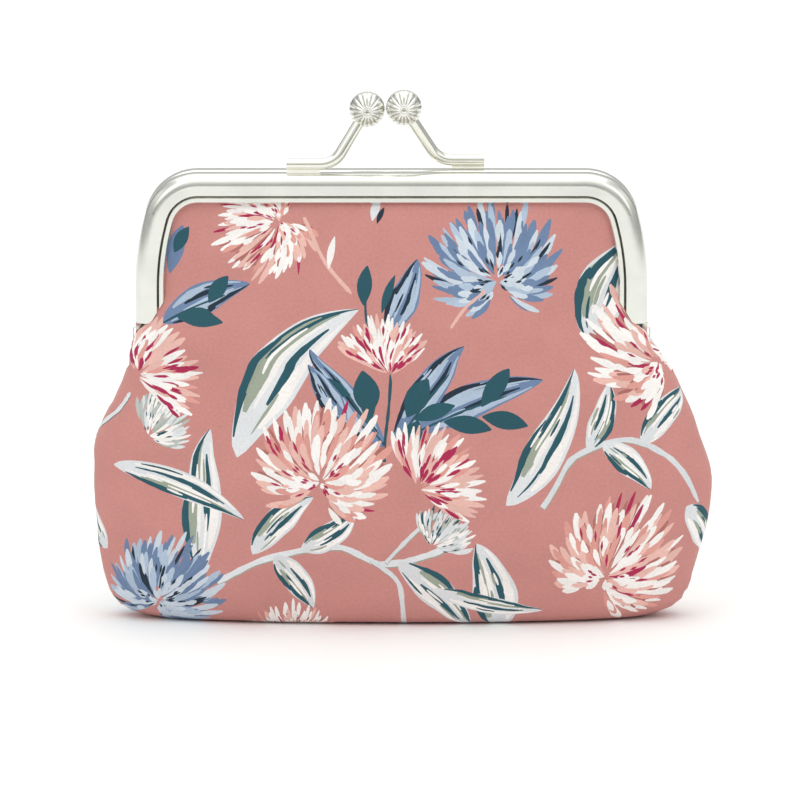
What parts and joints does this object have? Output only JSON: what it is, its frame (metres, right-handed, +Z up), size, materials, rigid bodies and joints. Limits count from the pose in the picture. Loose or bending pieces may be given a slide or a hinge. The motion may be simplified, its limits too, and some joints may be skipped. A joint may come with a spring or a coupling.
{
  "type": "coin purse",
  "caption": "Soft padded coin purse of floral printed cloth in a hinged metal frame that shuts with a kiss-lock clasp of two crossing ball knobs.",
  "frame": {"origin": "middle of the flat base, on the surface that the purse stands on", "axes": "+X to the purse's right, +Y to its back, +Z up through the clasp"},
  "size_m": [0.1034, 0.027, 0.0886],
  "materials": {
    "frame_metal": "bright nickel plate, softly polished",
    "clasp_metal": "bright nickel-plated rod",
    "ball_metal": "bright nickel-plated fluted knob",
    "rivet_metal": "nickel-plated rivet",
    "paper_cord": "twisted paper cord",
    "printed_cloth": "dusty pink plain-weave cloth with a painterly floral print",
    "fleece": "soft white needled fleece",
    "lining_cloth": "fine plain lining cloth",
    "thread": "polyester sewing thread"
  },
  "bodies": {
    "pouch": {"left_hinge_rivet": "rivet_metal", "right_hinge_rivet": "rivet_metal", "front_panel_lower": "printed_cloth", "back_panel_lower": "printed_cloth", "front_padding_lower": "fleece", "back_padding_lower": "fleece", "front_lining_lower": "lining_cloth", "back_lining_lower": "lining_cloth", "left_seam_thread": "thread", "right_seam_thread": "thread", "bottom_seam_thread": "thread"},
    "front_half": {"front_frame": "frame_metal", "front_clasp_arm": "clasp_metal", "front_clasp_ball": "ball_metal", "front_paper_cord": "paper_cord", "front_panel_upper": "printed_cloth", "front_padding_upper": "fleece", "front_lining_upper": "lining_cloth"},
    "back_half": {"back_frame": "frame_metal", "back_clasp_arm": "clasp_metal", "back_clasp_ball": "ball_metal", "back_paper_cord": "paper_cord", "back_panel_upper": "printed_cloth", "back_padding_upper": "fleece", "back_lining_upper": "lining_cloth"}
  },
  "joints": [
    {"name": "front_half_hinge", "type": "hinge", "parent": "pouch", "child": "front_half", "pos_m": [0, 0, 0.047], "axis": [1, 0, 0], "range_deg": [0, 45]},
    {"name": "back_half_hinge", "type": "hinge", "parent": "pouch", "child": "back_half", "pos_m": [0, 0, 0.047], "axis": [1, 0, 0], "range_deg": [-45, 0]}
  ],
  "couplings": [
    {"joint": "back_half_hinge", "follows": "front_half_hinge", "ratio": -1}
  ]
}
